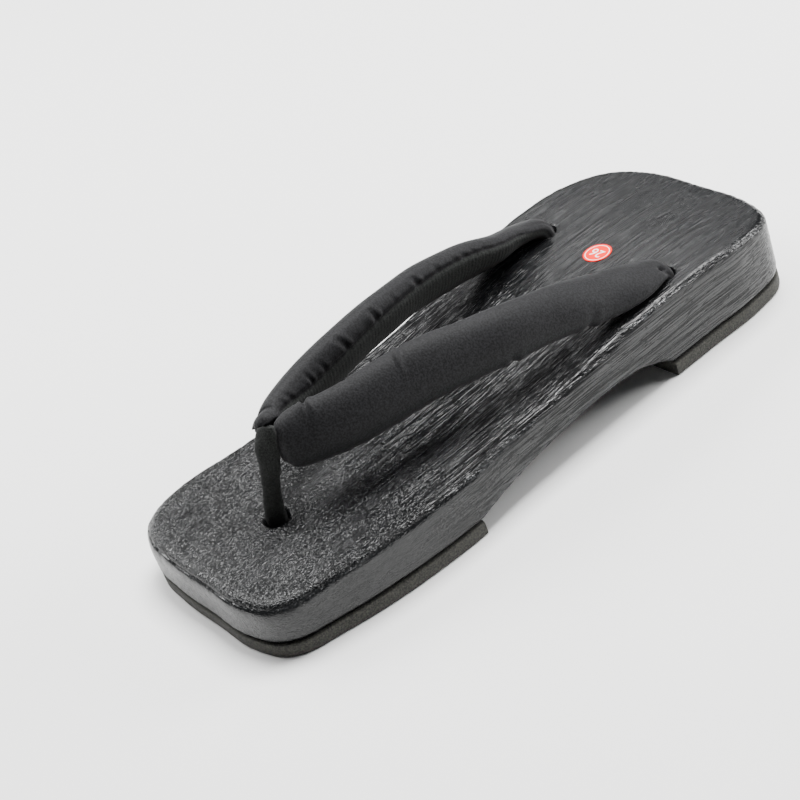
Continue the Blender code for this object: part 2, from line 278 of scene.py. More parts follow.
brushed_top = np.interp(places[:, 1], BRUSHED_AT, BRUSHED_TOP)
brushed_side = np.interp(places[:, 1], BRUSHED_AT, BRUSHED_SIDE)
brushed = brushed_side + (brushed_top - brushed_side) * np.interp(upward, TOP_UPWARD, (0, 1))
brushed *= 1 - TOE_GRAIN_LOST * at_toe * np.clip(1 - from_edge / TOE_EDGE_ROUND, 0, 1)
for name, values in (
    ("rasped", np.clip(rasped * (1 - TOE_RUBBING_AND_HIGHLIGHT_LOST * at_toe) + torn, 0, 1)),
    ("grain", brushed),
    ("flecked", np.interp(places[:, 1], BRUSHED_AT, FLECKED)),
):
    layer = fine_mesh.attributes.new(name, "FLOAT", "POINT")
    layer.data.foreach_set("value", values.astype(np.float32))

# Black lacquer over brushed wood: valleys painted darker as shade, rubbed silvery ridges, chips on the rasped
# edge painted lighter, part rubbing and part painted highlight, and a broken satin shine. Streaks are drawn
# about twice their real width, so that they show.
PORE_LEVEL = 0.46
PORE_HEIGHT = 0.3
CHIP_LEVEL = 0.45
CHIP_HEIGHT = 0.7
CHIP_RUBBED_AND_HIGHLIGHT = 1.2
GREY_LEVEL = 0.75
# The ramp runs from painted valley shade over the lacquer's grey to rubbed chips with painted highlight.
LACQUER_STOPS = ((0.10, LACQUER_VALLEY_SHADE), (GREY_LEVEL, LACQUER_GREY), (1.0, LACQUER_RUBBED_AND_HIGHLIGHT))
RIDGE_ROUGHNESS = 0.23
VALLEY_ROUGHER = 0.12
CLUSTER_ROUGHER = 0.35
RIDGE_MIRROR = 0.5
VALLEY_DULLER = 0.42
FIBRE_HEIGHT = 0.60 * MM

lacquer, tree, shader = new_material("black_lacquer_on_brushed_wood")
at = add_node(tree, "ShaderNodeTexCoord").outputs["Object"]
pattern = {}
for name, detail, lump in (
    ("streaks", 1.0, (STREAK_WIDTH, STREAK_LENGTH, STREAK_WIDTH)),
    ("flecks", 0.0, (0.6 * STREAK_WIDTH, FLECK_LENGTH, 0.6 * STREAK_WIDTH)),
    ("pores", 0.0, (1.6 * STREAK_WIDTH, 0.5 * STREAK_LENGTH, 1.6 * STREAK_WIDTH)),
    ("clusters", 2.0, CLUSTER_SIZE),
    ("splinters", 1.0, (CHIP_SIZE, 1.6 * CHIP_SIZE, CHIP_SIZE)),
):
    scaled = add_node(tree, "ShaderNodeMapping", {"Vector": at, "Scale": [1 / size for size in lump]})
    pattern[name] = add_node(tree, "ShaderNodeTexNoise", {
        "Vector": scaled.outputs[0], "Scale": 1.0, "Detail": detail, "Roughness": 0.5}).outputs["Fac"]
drawn_on = {
    name: add_node(tree, "ShaderNodeAttribute", attribute_name=name).outputs["Fac"]
    for name in ("grain", "rasped", "flecked")}

# The fibres' height from 0 to 1: flat-topped streaks and flecks with dark
# valleys between them, thin deep pores where one noise crosses its middle,
# and rough chips on the rasped edge.
fibre = add_node(tree, "ShaderNodeMix", {
    "Factor": drawn_on["flecked"], "A": pattern["streaks"], "B": pattern["flecks"],
}, data_type="FLOAT").outputs[0]
flat_top = add_node(tree, "ShaderNodeMapRange", {
    "Value": fibre, "From Min": 0.42, "From Max": 0.58}, interpolation_type="SMOOTHSTEP").outputs[0]
off_middle = add_node(tree, "ShaderNodeMath", {
    0: pattern["pores"], 1: PORE_LEVEL}, operation="SUBTRACT").outputs[0]
off_pore = add_node(tree, "ShaderNodeMath", {0: off_middle}, operation="ABSOLUTE").outputs[0]
beside_pore = add_node(tree, "ShaderNodeMapRange", {
    "Value": off_pore, "From Min": 0.006, "From Max": 0.03}).outputs[0]
bare = add_node(tree, "ShaderNodeMapRange", {
    "Value": pattern["clusters"], "From Min": 0.30, "From Max": 0.60, "To Min": 0.65, "To Max": 1.0,
}).outputs[0]
unbroken = add_node(tree, "ShaderNodeMath", {0: flat_top, 1: beside_pore}, operation="MULTIPLY").outputs[0]
ridge = add_node(tree, "ShaderNodeMath", {0: unbroken, 1: bare}, operation="MULTIPLY").outputs[0]
sunk = add_node(tree, "ShaderNodeMath", {0: 1.0, 1: ridge}, operation="SUBTRACT").outputs[0]
valley = add_node(tree, "ShaderNodeMath", {0: sunk, 1: drawn_on["grain"]}, operation="MULTIPLY").outputs[0]
splinter = add_node(tree, "ShaderNodeMath", {
    0: pattern["splinters"], 1: CHIP_LEVEL}, operation="SUBTRACT").outputs[0]
rasp = add_node(tree, "ShaderNodeMath", {
    0: drawn_on["rasped"], 1: CHIP_HEIGHT}, operation="MULTIPLY").outputs[0]
chip = add_node(tree, "ShaderNodeMath", {0: splinter, 1: rasp}, operation="MULTIPLY").outputs[0]
fibre_relief = add_node(tree, "ShaderNodeMath", {
    0: beside_pore, 1: PORE_HEIGHT, 2: fibre}, operation="MULTIPLY_ADD").outputs[0]
height = add_node(tree, "ShaderNodeMath", {
    0: fibre_relief, 1: drawn_on["grain"], 2: chip}, operation="MULTIPLY_ADD").outputs[0]
bump = add_node(tree, "ShaderNodeBump", {"Height": height, "Strength": 1.0, "Distance": FIBRE_HEIGHT})

# Ridges are grey and bright. Valleys are painted dark as shade, and are rougher and nearly without a mirror.
# Chips are painted lighter, part rubbing and part painted highlight. Bare clusters are rougher too.
chipped = add_node(tree, "ShaderNodeMath", {
    0: chip, 1: CHIP_RUBBED_AND_HIGHLIGHT, 2: GREY_LEVEL}, operation="MULTIPLY_ADD").outputs[0]
lightness = add_node(tree, "ShaderNodeMath", {0: chipped, 1: valley}, operation="SUBTRACT").outputs[0]
tone = add_node(tree, "ShaderNodeValToRGB", {"Fac": lightness})
tone.color_ramp.elements.new(GREY_LEVEL)
for stop, (position, colour) in zip(tone.color_ramp.elements, LACQUER_STOPS):
    stop.position = position
    stop.color = linear(colour)
clustered = add_node(tree, "ShaderNodeMath", {
    0: pattern["clusters"], 1: CLUSTER_ROUGHER, 2: RIDGE_ROUGHNESS - CLUSTER_ROUGHER / 2,
}, operation="MULTIPLY_ADD").outputs[0]
roughness = add_node(tree, "ShaderNodeMath", {
    0: valley, 1: VALLEY_ROUGHER, 2: clustered}, operation="MULTIPLY_ADD").outputs[0]
mirror = add_node(tree, "ShaderNodeMath", {
    0: valley, 1: -VALLEY_DULLER, 2: RIDGE_MIRROR}, operation="MULTIPLY_ADD").outputs[0]
set_inputs(tree, shader, {
    "Base Color": tone.outputs["Color"], "Roughness": roughness, "Normal": bump.outputs[0],
    "Specular IOR Level": mirror, "IOR": 1.5})
base.data.materials.append(lacquer)
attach(base, "root")
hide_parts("base")


# Rubber pads
# Two flat pads of moulded foam rubber, cut to the outline of the wood and
# glued under it. They keep the shape of the frame's solids.
SPECKLE = 0.7 * MM
GRIT_HEIGHT = 0.15 * MM
RUBBER_STOPS = ((0.38, "1A1A18"), (0.68, "45443E"))

# Moulded foam rubber: dull and dark grey, with a fine lighter speckle. The
# real grit is finer and is drawn at 0.7 mm, so that it shows.
rubber, tree, shader = new_material("moulded_foam_rubber")
at = add_node(tree, "ShaderNodeTexCoord").outputs["Object"]
grit = add_node(tree, "ShaderNodeTexNoise", {
    "Vector": at, "Scale": 1 / SPECKLE, "Detail": 3.0, "Roughness": 0.7}).outputs["Fac"]
tone = add_node(tree, "ShaderNodeValToRGB", {"Fac": grit})
for stop, (position, colour) in zip(tone.color_ramp.elements, RUBBER_STOPS):
    stop.position = position
    stop.color = linear(colour)
bump = add_node(tree, "ShaderNodeBump", {"Height": grit, "Strength": 0.6, "Distance": GRIT_HEIGHT})
set_inputs(tree, shader, {
    "Base Color": tone.outputs["Color"], "Roughness": 0.85, "Normal": bump.outputs[0], "IOR": 1.5})
for name in ("pad_front", "pad_heel"):
    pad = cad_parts[name]
    pad.data.materials.clear()
    pad.data.materials.append(rubber)


# Padded strap
# Two branches of black satin-faced cotton over a soft filling, each closed
# underneath by a strip of ribbed velvet. The seams pull the cloth into short
# folds, and each branch is pinched together where it goes into its hole.
NOSE_Y = -84.75 * MM
STRAP_WIDTH = 24.5 * MM
STRAP_THICKNESS = 14.0 * MM
STRAP_RISE = 32.5 * MM
TAIL_WIDTH = 9.2 * MM
TAIL_DEPTH = 14.0 * MM
CLEAR_OF_HOLES = 20 * MM
RING_SPACING = 0.45 * MM
RING_SIDES = 88
ROW_STEPS = 30
FRONT_STEPS = 20
TURN_STEPS = 30
EVEN_REACH = 5.0 * MM
NOSE_LEAD = 2 * MM
RIB_SPACING = 1.8 * MM
RIB_DEPTH = 0.16 * MM
VELVET_EDGE = 0.8 * MM
SEAM_DEPTH = 0.7 * MM
SEAM_WIDTH = 1.1 * MM
LOWER_SEAM = 334.0
LUMP_DEPTH = 0.45 * MM
LUMP_SIZE = (16 * MM, 22 * MM, 16 * MM)

# From the nose to the hole: along and across are shares of the way, rise a
# share of the strap's rise, wide and thick shares of its sizes; tilt is how
# steeply the wide side stands and seam where the upper seam lies, in degrees.
STRAP_ROWS = [
    {"along": 0.012, "across": 0.135, "rise": 0.900, "wide": 0.76, "thick": 0.90, "tilt": 82, "seam": 220},
    {"along": 0.055, "across": 0.27, "rise": 0.888, "wide": 0.91, "thick": 0.93, "tilt": 76, "seam": 228},
    {"along": 0.160, "across": 0.46, "rise": 0.868, "wide": 1.00, "thick": 0.97, "tilt": 70, "seam": 243},
    {"along": 0.320, "across": 0.60, "rise": 0.880, "wide": 0.98, "thick": 1.00, "tilt": 67, "seam": 239},
    {"along": 0.445, "across": 0.74, "rise": 0.810, "wide": 0.93, "thick": 1.00, "tilt": 66, "seam": 228},
    {"along": 0.570, "across": 0.86, "rise": 0.700, "wide": 0.87, "thick": 1.00, "tilt": 63, "seam": 220},
    {"along": 0.700, "across": 0.93, "rise": 0.515, "wide": 0.84, "thick": 1.00, "tilt": 54, "seam": 204},
    {"along": 0.820, "across": 0.98, "rise": 0.280, "wide": 0.83, "thick": 0.86, "tilt": 36, "seam": 186},
    {"along": 0.900, "across": 1.03, "rise": 0.190, "wide": 0.76, "thick": 0.72, "tilt": 26, "seam": 180},
    {"along": 0.955, "across": 1.02, "rise": 0.140, "wide": 0.63, "thick": 0.60, "tilt": 16, "seam": 180},
]

# The branches' front ends, in mm, both closed in a dome.
FRONT_ENDS = {
    1: [
        {"x": 4.6, "y": -87.0, "z": 53.6, "wide": 2.5, "thick": 1.6, "tilt": 84, "seam": 216},
        {"x": 4.8, "y": -86.7, "z": 53.7, "wide": 8.5, "thick": 5.0, "tilt": 84, "seam": 216},
        {"x": 5.1, "y": -85.6, "z": 53.9, "wide": 15.0, "thick": 8.4, "tilt": 83, "seam": 218},
    ],
    -1: [
        {"x": -0.3, "y": -90.1, "z": 58.4, "wide": 2.5, "thick": 1.8, "tilt": 84, "seam": 216},
        {"x": -0.4, "y": -89.7, "z": 58.2, "wide": 9.0, "thick": 5.6, "tilt": 84, "seam": 216},
        {"x": -0.7, "y": -87.6, "z": 57.4, "wide": 15.5, "thick": 9.4, "tilt": 83, "seam": 218},
    ],
}

# The outer branch's nose leans forward at its foot and back at its top.
FRONT_LEAN = 0.40
LEAN_FROM = 52 * MM
LEAN_BEFORE = -72 * MM
LEAN_FADE = 10 * MM

# The inner branch's nose overhangs the toe cord: below this hem its cloth
# stands back behind the cord.
HEM_HEIGHT = 59.4 * MM
HEM_RISE = 0.9
HEM_TOP = 61.8 * MM
HEM_BACK = -85.6 * MM
HEM_SIDE = 2.0 * MM
HEM_EDGE = 0.7 * MM
HEM_BEFORE = -80 * MM
HEM_FADE = 2 * MM

# Seams, folds and lumps fade in behind the nose and out before the hole,
# where the cloth is gathered in pleats instead.
FADE_IN = 5 * MM
FADE_OUT = 10 * MM
SMOOTH_TAIL = 22 * MM
PLEATS = 7
PLEAT_DEPTH = 0.25 * MM
PLEAT_REACH = 14 * MM
PLEATED_TAIL = 20 * MM

# The pit in the cloth where each branch turns down into its hole, beside the
# middle of the hole.
PIT_OUTWARD = 4.6 * MM
PIT_BEHIND = -2.2 * MM
PIT_ABOVE = 4 * MM
PIT_SIZE = 1.3 * MM
PIT_SHAPE = (1.0, 0.7, 0.3)
PIT_DEPTH = 3.2 * MM

# Folds that start at a seam: how far behind the nose, how far they reach into
# the cloth, how wide and deep, all in mm, and how much they lean backwards.
UPPER_FOLDS = {
    1: [
        {"at": 13, "reach": 25, "width": 1.5, "depth": 1.30, "lean": -0.15},
        {"at": 30, "reach": 16, "width": 1.3, "depth": 0.70, "lean": 0.10},
        {"at": 54, "reach": 25, "width": 1.0, "depth": -1.60, "lean": -0.20},
        {"at": 74, "reach": 15, "width": 1.4, "depth": 0.45, "lean": 0.20},
        {"at": 108, "reach": 10, "width": 2.4, "depth": 0.25, "lean": 0.15},
        {"at": 138, "reach": 9, "width": 2.2, "depth": 0.30, "lean": 0.25},
    ],
    -1: [
        {"at": 13, "reach": 9, "width": 1.3, "depth": 0.40, "lean": -0.30},
        {"at": 27, "reach": 10, "width": 1.2, "depth": 0.73, "lean": -0.25},
        {"at": 36, "reach": 8, "width": 1.1, "depth": 0.49, "lean": -0.30},
        {"at": 49, "reach": 12, "width": 1.3, "depth": 0.91, "lean": -0.35},
        {"at": 66, "reach": 12, "width": 1.3, "depth": 0.91, "lean": -0.30},
        {"at": 78, "reach": 8, "width": 1.2, "depth": 0.37, "lean": -0.30},
        {"at": 92, "reach": 12, "width": 1.4, "depth": 0.91, "lean": -0.35},
        {"at": 104, "reach": 9, "width": 1.3, "depth": 0.49, "lean": -0.30},
        {"at": 118, "reach": 8, "width": 1.3, "depth": 0.42, "lean": -0.30},
        {"at": 128, "reach": 8, "width": 1.4, "depth": 0.37, "lean": -0.30},
    ],
}
LOWER_FOLDS = {
    1: [
        {"at": 24, "reach": 9, "width": 2.2, "depth": 0.63, "lean": 0.10},
        {"at": 47, "reach": 8, "width": 2.0, "depth": 0.63, "lean": -0.10},
        {"at": 68, "reach": 9, "width": 2.4, "depth": 0.54, "lean": 0.10},
        {"at": 91, "reach": 14, "width": 1.8, "depth": 1.17, "lean": 0.05},
        {"at": 125, "reach": 15, "width": 2.2, "depth": 1.08, "lean": 0.15},
    ],
    -1: [
        {"at": 20, "reach": 9, "width": 2.2, "depth": 0.63, "lean": 0.10},
        {"at": 43, "reach": 10, "width": 2.0, "depth": 0.81, "lean": -0.10},
        {"at": 71, "reach": 9, "width": 2.4, "depth": 0.63, "lean": 0.10},
        {"at": 98, "reach": 12, "width": 2.0, "depth": 0.90, "lean": 0.10},
        {"at": 121, "reach": 10, "width": 2.4, "depth": 0.72, "lean": 0.10},
    ],
}

# Each fold is a trough between two ridges, whose sizes are shares of the
# trough's. It starts softly, a little way off its seam.
FOLD_START = 1.4 * MM
FOLD_FADE = 1.5
RIDGE_OFFSET = 1.8
RIDGE_WIDTH = 0.9
RIDGE_HEIGHT = 0.65
FRONT_RIDGE = 0.6

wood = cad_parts["base"].data
wood_tree = bvhtree.BVHTree.FromPolygons([v.co for v in wood.vertices], [p.vertices for p in wood.polygons])


def wood_top(y):
    """Height of the wood's top at y, clear of its holes."""
    return wood_tree.ray_cast(Vector((CLEAR_OF_HOLES, y, 1)), Vector((0, 0, -1)))[0].z


def smooth_curve(known_at, known, wanted):
    """Values on a smooth curve through the known ones."""
    slopes = np.gradient(known, known_at)
    i = np.clip(np.searchsorted(known_at, wanted, side="right") - 1, 0, len(known_at) - 2)
    step = known_at[i + 1] - known_at[i]
    t = (wanted - known_at[i]) / step
    return (
        (2 * t**3 - 3 * t**2 + 1) * known[i] + (t**3 - 2 * t**2 + t) * slopes[i] * step
        + (3 * t**2 - 2 * t**3) * known[i + 1] + (t**3 - t**2) * slopes[i + 1] * step
    )


def read_rows(rows, wanted):
    """Each column of a table at the rows wanted, on smooth curves through it."""
    index = np.arange(len(rows), dtype=float)
    return {
        name: smooth_curve(index, np.array([float(row[name]) for row in rows]), wanted)
        for name in rows[0]}


def unit(vectors):
    """The same directions, one long."""
    return vectors / np.linalg.norm(vectors, axis=-1, keepdims=True)


def in_even_steps(centres, sizes, spacing):
    """The way along a line at its places, then the way, places and sizes at even steps."""
    run = np.concatenate([[0], np.cumsum(np.linalg.norm(np.diff(centres, axis=0), axis=1))])
    even = np.arange(0, run[-1], spacing)
    centres, sizes = (
        np.stack([np.interp(even, run, column) for column in table.T], 1) for table in (centres, sizes))
    return run, even, centres, sizes


def even_out(line):
    """A line of places without kinks, its ends kept."""
    reach = int(EVEN_REACH / RING_SPACING)
    before = 2 * line[0] - line[reach:0:-1]
    after = 2 * line[-1] - line[-2:-reach - 2:-1]
    padded = np.concatenate([before, line, after])
    window = np.hanning(2 * reach + 3)[1:-1]
    window /= window.sum()
    return np.stack([np.convolve(padded[:, k], window, mode="valid") for k in range(3)], 1)


def rings_round(centres, wide_axis, thin_axis, across, through):
    """Rings of places round a line, by two axes and the reach along each."""
    return centres[:, None] + wide_axis[:, None] * across[..., None] + thin_axis[:, None] * through[..., None]


def closed_tube(name, rings):
    """A new smooth object that skins the rings and closes both ends."""
    bm = bmesh.new()
    rows = [[bm.verts.new(p) for p in ring] for ring in rings]
    for a, b in zip(rows, rows[1:]):
        for k in range(len(a)):
            n = (k + 1) % len(a)
            bm.faces.new((a[k], a[n], b[n], b[k]))
    bm.faces.new(rows[0])
    bm.faces.new(rows[-1])
    bmesh.ops.recalc_face_normals(bm, faces=bm.faces)
    tube = mesh_object(name, bm)
    tube.data.shade_smooth()
    return tube


def branch_line(side):
    """Way from the nose, centres and sizes along one branch, down into its hole."""
    steps = np.linspace(0, len(STRAP_ROWS) - 1, ROW_STEPS * (len(STRAP_ROWS) - 1) + 1)
    read = read_rows(STRAP_ROWS, steps)
    y = NOSE_Y + (HOLE_Y - NOSE_Y) * read["along"]
    z = np.array([wood_top(v) for v in y]) + STRAP_RISE * read["rise"]
    sections = np.stack([
        HOLE_AXIS + side * HOLE_SPREAD * read["across"], y, z,
        STRAP_WIDTH * read["wide"], STRAP_THICKNESS * read["thick"], read["tilt"], read["seam"]], 1)

    # The front end leads into the first sections on a smooth curve.
    front = FRONT_ENDS[side]
    in_mm = [[row[name] * MM for name in ("x", "y", "z", "wide", "thick")] for row in front]
    in_degrees = [[row["tilt"], row["seam"]] for row in front]
    knots = np.concatenate([
        np.concatenate([in_mm, in_degrees], 1), sections[[0, ROW_STEPS // 2, ROW_STEPS]]])
    knots_at = np.arange(len(knots), dtype=float)
    fine = np.linspace(0, len(front), FRONT_STEPS * len(front), endpoint=False)
    led = np.stack([smooth_curve(knots_at, column, fine) for column in knots.T], 1)
    sections = np.concatenate([led, sections])
    centres, sizes = sections[:, :3], sections[:, 3:]

    # The end rolls over on a quarter turn and runs straight down.
    start, last = centres[-1], sizes[-1]
    bend = HOLE_Y - start[1]
    share = np.linspace(0, 1, TURN_STEPS + 1)[1:, None]
    turn = share * math.pi / 2
    rolled = np.concatenate([
        start[0] + (HOLE_AXIS + side * HOLE_SPREAD - start[0]) * share,
        start[1] + bend * np.sin(turn), start[2] - bend * (1 - np.cos(turn))], 1)
    tail = np.array([TAIL_WIDTH, TAIL_WIDTH, 0, last[3]])
    bottom = np.array([[rolled[-1, 0], HOLE_Y, wood_top(HOLE_Y) - TAIL_DEPTH]])
    centres = np.concatenate([centres, rolled, bottom])
    sizes = np.concatenate([sizes, last * (1 - share) + tail * share, tail[None]])

    known, run, centres, sizes = in_even_steps(centres, sizes, RING_SPACING)
    return run - known[len(led)] + NOSE_LEAD, even_out(centres), sizes


def fold_relief(folds, run, away):
    """Troughs between ridges, from the seam (away 0) into the cloth."""
    relief = np.zeros_like(away)
    for fold in folds:
        width, reach = fold["width"] * MM, fold["reach"] * MM
        off = run - fold["at"] * MM - fold["lean"] * away
        fade = np.clip(1 - away / reach, 0, 1) ** FOLD_FADE * np.clip(away / FOLD_START, 0, 1)
        trough = np.exp(-(off / width) ** 2)
        ridges = np.exp(-((off - RIDGE_OFFSET * width) / (RIDGE_WIDTH * width)) ** 2)
        ridges += FRONT_RIDGE * np.exp(-((off + RIDGE_OFFSET * width) / (RIDGE_WIDTH * width)) ** 2)
        relief += fold["depth"] * MM * fade * (RIDGE_HEIGHT * ridges - trough)
    return relief


def small_folds(draw, length):
    """Many slight folds along a seam, drawn from a seeded generator, in mm."""
    folds, place = [], draw.uniform(3, 6)
    while place < length:
        folds.append({
            "at": place, "reach": draw.uniform(3.5, 7), "width": draw.uniform(0.9, 1.5),
            "depth": draw.uniform(0.10, 0.26), "lean": draw.uniform(-0.4, 0.1)})
        place += draw.uniform(4.0, 7.5)
    return folds


def from_seams(degrees, wide, thick, seam):
    """Distance from the upper and the lower seam round each ring, positive on the smooth cloth."""
    cos, sin = np.cos(np.radians(degrees)), np.sin(np.radians(degrees))
    per_degree = np.sqrt((wide * sin / 2) ** 2 + (thick * cos / 2) ** 2) * math.pi / 180
    around = np.cumsum(per_degree, axis=1) * 360 / RING_SIDES
    girth = around[:, -1:]
    upper_at, lower_at = (
        np.array([[np.interp(a, degrees[0], row)] for a, row in zip(angles, around)])
        for angles in (seam[:, 0], np.full(len(seam), LOWER_SEAM)))
    upper = upper_at - around
    lower = around - lower_at
    lower = np.where(lower < 0, lower + girth, lower)
    lower = np.where(lower > girth / 2, lower - girth, lower)
    upper = np.where(upper > girth / 2, upper - girth, upper)
    return upper, lower


def strap_branch(name, side, seed):
    """One padded branch as a closed tube, smooth cloth and ribbed velvet."""
    run, centres, sizes = branch_line(side)
    wide, thick, tilt, seam = (sizes[:, k][:, None] for k in range(4))
    ahead = unit(np.gradient(centres, axis=0))
    level = np.array([side, 0.0, 0.0])
    outward = unit(level - ahead * (ahead @ level)[:, None])
    upward = np.cross(outward, ahead) * side
    lean = np.radians(tilt)
    wide_axis = outward * np.cos(lean) - upward * np.sin(lean)
    thin_axis = outward * np.sin(lean) + upward * np.cos(lean)
    degrees = np.arange(RING_SIDES)[None] * 360 / RING_SIDES + np.zeros_like(wide)
    cos, sin = np.cos(np.radians(degrees)), np.sin(np.radians(degrees))
    places = rings_round(centres, wide_axis, thin_axis, wide / 2 * cos, thick / 2 * sin)
    normal = unit(rings_round(0 * centres, wide_axis, thin_axis, cos / wide, sin / thick))

    # Seams, folds, the velvet's ribs and the filling's lumps.
    upper, lower = from_seams(degrees, wide, thick, seam)
    velvet = (degrees > seam) & (degrees < LOWER_SEAM)
    on_velvet = np.clip(np.minimum(-upper, -lower) / VELVET_EDGE, 0, 1) * velvet
    along = np.broadcast_to(run[:, None], upper.shape)
    ends = np.clip(along / FADE_IN, 0, 1) * np.clip((run[-1] - SMOOTH_TAIL - along) / FADE_OUT, 0, 1)
    draw = random.Random(seed)
    length_mm = run[-1] / MM
    relief = -SEAM_DEPTH * (np.exp(-(upper / SEAM_WIDTH) ** 2) + np.exp(-(lower / SEAM_WIDTH) ** 2))
    relief += fold_relief(UPPER_FOLDS[side] + small_folds(draw, length_mm), along, upper)
    relief += fold_relief(LOWER_FOLDS[side] + small_folds(draw, length_mm), along, lower)
    relief -= RIB_DEPTH * (0.5 + 0.5 * np.cos(2 * math.pi * along / RIB_SPACING)) * on_velvet
    lumps = noise_at(places.reshape(-1, 3), LUMP_SIZE, seed=1.7 * seed)
    relief += LUMP_DEPTH * lumps.reshape(relief.shape)
    relief *= ends

    # Pleats and a pit where the end is pulled together above its hole.
    near_hole = np.clip(1 - (run[-1] - PLEATED_TAIL - along) / PLEAT_REACH, 0, 1)
    relief -= PLEAT_DEPTH * near_hole * (0.5 + 0.5 * np.cos(PLEATS * np.radians(degrees) + seed)) ** 2
    places = places + normal * relief[..., None]
    pit = np.array([
        HOLE_AXIS + side * (HOLE_SPREAD + PIT_OUTWARD), HOLE_Y + PIT_BEHIND, wood_top(HOLE_Y) + PIT_ABOVE])
    dent = np.exp(-(np.linalg.norm((places - pit) * PIT_SHAPE, axis=2) / PIT_SIZE) ** 2)
    places -= normal * (PIT_DEPTH * dent)[..., None]

    if side > 0:
        leaning = np.clip((LEAN_BEFORE - places[..., 1]) / LEAN_FADE, 0, 1)
        places[..., 1] += FRONT_LEAN * leaning * (places[..., 2] - LEAN_FROM)
    else:
        hem = np.clip(HEM_HEIGHT + HEM_RISE * places[..., 0], HEM_HEIGHT, HEM_TOP)
        under = np.clip((hem - places[..., 2]) / HEM_EDGE, 0, 1)
        under *= np.clip((HEM_BEFORE - places[..., 1]) / HEM_FADE, 0, 1)
        places[..., 1] += under * np.clip(HEM_BACK - places[..., 1], 0, None)
        places[..., 0] -= under * np.clip(places[..., 0] - HEM_SIDE, 0, None)

    branch = closed_tube(name, places)
    branch.data.polygons.foreach_set("material_index", [*velvet[:-1].astype(int).ravel().tolist(), 0, 0])
    return branch


# Satin-faced cotton: a tight, nearly matt black weave whose raised fibres
# catch light at the edges. Real threads lie 0.25 mm apart; drawn at 0.7 mm.
# Sockets 6 and 7 of the mixing node are its two colours.
THREAD = 0.7 * MM
THREAD_HEIGHT = 0.3 * MM
CLOTH_DARK = "060607"
CLOTH_LIGHT = "1C1C1E"
satin, tree, shader = new_material("black_satin_cotton")
at = add_node(tree, "ShaderNodeTexCoord").outputs["Object"]
threads = add_node(tree, "ShaderNodeTexNoise", {
    "Vector": at, "Scale": 1 / THREAD, "Detail": 2.0, "Roughness": 0.6}).outputs["Fac"]
weave = add_node(tree, "ShaderNodeMapRange", {
    "Value": threads, "From Min": 0.38, "From Max": 0.62}).outputs[0]
tone = add_node(tree, "ShaderNodeMix", {
    "Factor": weave, 6: linear(CLOTH_DARK), 7: linear(CLOTH_LIGHT)}, data_type="RGBA")
bump = add_node(tree, "ShaderNodeBump", {"Height": threads, "Strength": 0.6, "Distance": THREAD_HEIGHT})
set_inputs(tree, shader, {
    "Base Color": tone.outputs[2], "Roughness": 0.62, "Normal": bump.outputs[0],
    "Sheen Weight": 0.09, "Sheen Roughness": 0.4, "Specular IOR Level": 0.19, "IOR": 1.45})

# Ribbed velvet: a short black pile that swallows light between its ribs. The
# real pile is finer and is drawn at 0.6 mm, so that it shows.
PILE = 0.6 * MM
PILE_HEIGHT = 0.2 * MM
VELVET_STOPS = ((0.35, "070808"), (0.75, "323432"))
velvet_cloth, tree, shader = new_material("black_ribbed_velvet")
at = add_node(tree, "ShaderNodeTexCoord").outputs["Object"]
pile = add_node(tree, "ShaderNodeTexNoise", {
    "Vector": at, "Scale": 1 / PILE, "Detail": 4.0, "Roughness": 0.75}).outputs["Fac"]
tone = add_node(tree, "ShaderNodeValToRGB", {"Fac": pile})
for stop, (position, colour) in zip(tone.color_ramp.elements, VELVET_STOPS):
    stop.position = position
    stop.color = linear(colour)
bump = add_node(tree, "ShaderNodeBump", {"Height": pile, "Strength": 0.8, "Distance": PILE_HEIGHT})
set_inputs(tree, shader, {
    "Base Color": tone.outputs["Color"], "Roughness": 0.95, "Normal": bump.outputs[0],
    "Sheen Weight": 0.06, "Sheen Roughness": 0.6, "Specular IOR Level": 0.12, "IOR": 1.4})

for name, side, seed in (("strap_outer", 1, 3), ("strap_inner", -1, 8)):
    branch = strap_branch(name, side, seed)
    branch.data.materials.append(satin)
    branch.data.materials.append(velvet_cloth)
    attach(branch, "root")
    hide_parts("strap")


# Toe cord
# A folded band of black velvet that holds the strap's nose. It turns a
# little on its way down and goes into the toe hole.
CORD_WIDTH = 8.4 * MM
CORD_THICKNESS = 4.2 * MM
CORD_SIDES = 40
CORD_SPACING = 0.45 * MM
CORD_STEPS = 400
CORD_ROUNDNESS = 0.7
FUZZ_DEPTH = 0.22 * MM
FUZZ_SIZE = (1.1 * MM, 1.1 * MM, 1.1 * MM)
KINK_DEPTH = 0.35 * MM
KINK_SIZE = (4 * MM, 4 * MM, 9 * MM)
SLANT_ABOVE = 28 * MM
SLANT_REACH = 8 * MM
SLANT_SIDE = 0.8 * MM
CORD_SLANT = 0.60

